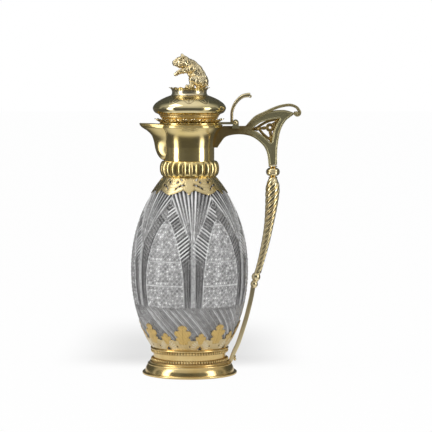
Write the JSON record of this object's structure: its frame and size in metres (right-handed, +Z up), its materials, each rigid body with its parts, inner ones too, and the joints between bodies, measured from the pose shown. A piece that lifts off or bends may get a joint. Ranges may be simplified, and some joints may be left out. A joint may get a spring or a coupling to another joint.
{
  "type": "claret jug",
  "caption": "Silver-gilt mounted cut-glass claret jug with a beak spout, a tall scroll handle with a twisted grip, and a hinged domed lid with a bear finial and a thumbpiece.",
  "frame": {"origin": "on the ground under the middle of the foot, in the plane it rests on", "axes": "+Z up, +X towards the handle, -X towards the spout, +Y to the far side of the picture's view"},
  "size_m": [0.1704, 0.1174, 0.3203],
  "materials": {
    "gilt": "silver-gilt: pale gold over silver, polished, with soft wear",
    "warm_gilt": "silver-gilt, warmer and thicker gilding, polished",
    "pale_gilt": "silver-gilt rubbed pale where hands and cloths reach",
    "cut_glass": "clear lead crystal, deep cut and polished",
    "plaster": "matt white plaster",
    "engraved_gilt": "silver-gilt, chased and engraved, darkened in the cuts"
  },
  "bodies": {
    "jug": {"foot_rim": "warm_gilt", "foot_dome": "warm_gilt", "base_drum": "warm_gilt", "bead_wire_lower": "warm_gilt", "bead_wire_upper": "warm_gilt", "base_plate": "gilt", "base_bedding": "plaster", "glass_body": "cut_glass", "base_leaf_mount": "engraved_gilt", "shoulder_skirt": "engraved_gilt", "gadroon_ring": "pale_gilt", "neck_cement": "plaster", "neck_collar": "gilt", "spout": "gilt", "neck_rim": "gilt", "handle_bracket": "gilt", "handle_tracery": "warm_gilt", "handle_ribbon": "gilt", "handle_knop": "pale_gilt", "handle_grip": "pale_gilt", "grip_beads": "pale_gilt", "handle_rod": "gilt", "rod_scroll": "gilt", "hinge_lugs": "gilt", "hinge_pin": "pale_gilt"},
    "lid": {"lid_bezel": "gilt", "lid_lining": "gilt", "lid_flange": "gilt", "lid_strap": "gilt", "thumbpiece": "pale_gilt", "lid_leaf_border": "warm_gilt", "lid_waist": "warm_gilt", "lid_bun": "gilt", "coronet": "engraved_gilt", "finial_plinth": "gilt", "finial_bear": "engraved_gilt", "finial_stud": "gilt", "finial_nut": "gilt"}
  },
  "joints": [
    {"name": "lid_hinge", "type": "hinge", "parent": "jug", "child": "lid", "pos_m": [0.0461, 0, 0.2514], "axis": [0, 1, 0], "range_deg": [0, 35]}
  ]
}
